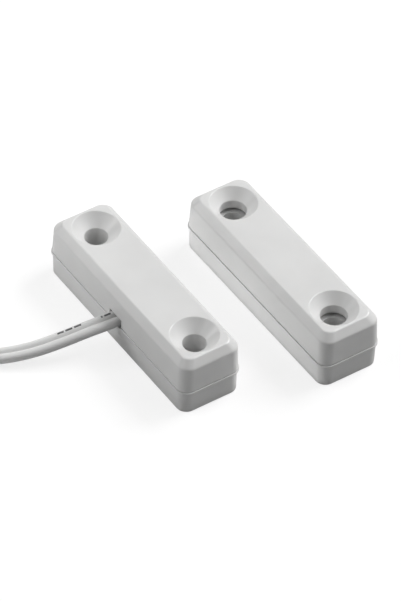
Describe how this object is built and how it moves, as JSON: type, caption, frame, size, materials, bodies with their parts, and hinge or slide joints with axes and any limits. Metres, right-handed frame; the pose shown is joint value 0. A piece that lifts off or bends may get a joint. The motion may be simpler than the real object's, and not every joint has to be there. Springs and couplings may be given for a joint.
{
  "type": "door contact sensor",
  "caption": "Surface-mount magnetic door contact: a reed switch housing with a flat twin lead, and a matching magnet housing, both bevelled and countersunk for screws.",
  "frame": {"origin": "middle of the rectangle that the two housings cover, on the mounting surface", "axes": "+Z away from the mounting surface, +X along the housings, +Y from the switch housing to the magnet housing"},
  "size_m": [0.0617, 0.119, 0.0133],
  "materials": {
    "housing": "satin moulded ABS, off-white",
    "lead_insulation": "smooth white PVC insulation",
    "clamp_nylon": "natural nylon",
    "board": "green glass-epoxy board",
    "capsule_glass": "clear greenish glass",
    "reed_metal": "nickel-iron",
    "copper": "bare stranded copper",
    "solder": "tin",
    "magnet": "sintered ferrite, dark grey",
    "foam": "closed-cell foam, dark grey"
  },
  "bodies": {
    "switch_half": {"switch_base": "housing", "reed_board": "board", "reed_capsule": "capsule_glass", "fixed_reed": "reed_metal", "moving_reed_lead": "reed_metal", "solder_joints": "solder", "wire_core_left": "lead_insulation", "wire_core_right": "lead_insulation", "wire_strands_left": "copper", "wire_strands_right": "copper", "cable_clamp": "clamp_nylon", "cable_run": "lead_insulation", "cable_coil": "lead_insulation", "core_ends": "lead_insulation", "tinned_ends": "solder"},
    "switch_cover": {"switch_cover": "housing"},
    "moving_reed": {"moving_reed_blade": "reed_metal"},
    "magnet_half": {"magnet_base": "housing", "bar_magnet": "magnet"},
    "magnet_cover": {"magnet_cover": "housing", "magnet_pad": "foam"}
  },
  "joints": [
    {"name": "switch_cover_lift", "type": "slide", "parent": "switch_half", "child": "switch_cover", "axis": [0, 0, 1], "range_m": [0, 0.02]},
    {"name": "reed_close", "type": "hinge", "parent": "switch_half", "child": "moving_reed", "pos_m": [0.00095, -0.01118, 0.00591], "axis": [0, -1, 0], "range_deg": [0, 1.6], "stiffness_Nm_per_rad": 0.005},
    {"name": "magnet_travel", "type": "slide", "parent": "switch_half", "child": "magnet_half", "axis": [0, 1, 0], "range_m": [-0.0124, 0.03]},
    {"name": "magnet_cover_lift", "type": "slide", "parent": "magnet_half", "child": "magnet_cover", "axis": [0, 0, 1], "range_m": [0, 0.02]}
  ]
}
